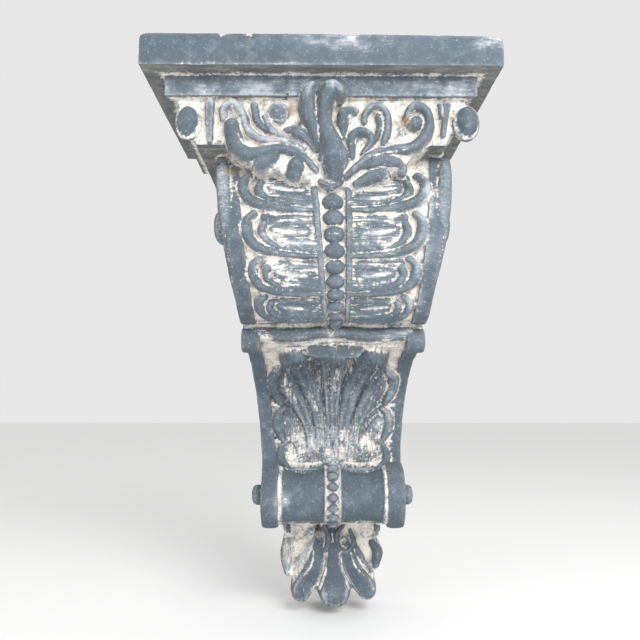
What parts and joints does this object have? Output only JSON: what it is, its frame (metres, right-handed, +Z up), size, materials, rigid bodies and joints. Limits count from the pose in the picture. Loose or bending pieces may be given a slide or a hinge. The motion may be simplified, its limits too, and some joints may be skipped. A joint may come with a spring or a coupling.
{
  "type": "corbel",
  "caption": "Console corbel in painted cast stone: moulded shelf over a carved double scroll with a foot roll and a hanging leaf.",
  "frame": {"origin": "on the flat wall face, in the middle of the shelf's width and halfway up the corbel", "axes": "+Z up, +Y into the wall, so the corbel stands out along -Y"},
  "size_m": [0.36, 0.25, 0.6],
  "materials": {
    "painted_cast_stone": "slate blue-grey paint rubbed with cream in the recesses, matt and worn"
  },
  "bodies": {
    "root": {"corbel": "painted_cast_stone"}
  },
  "joints": []
}
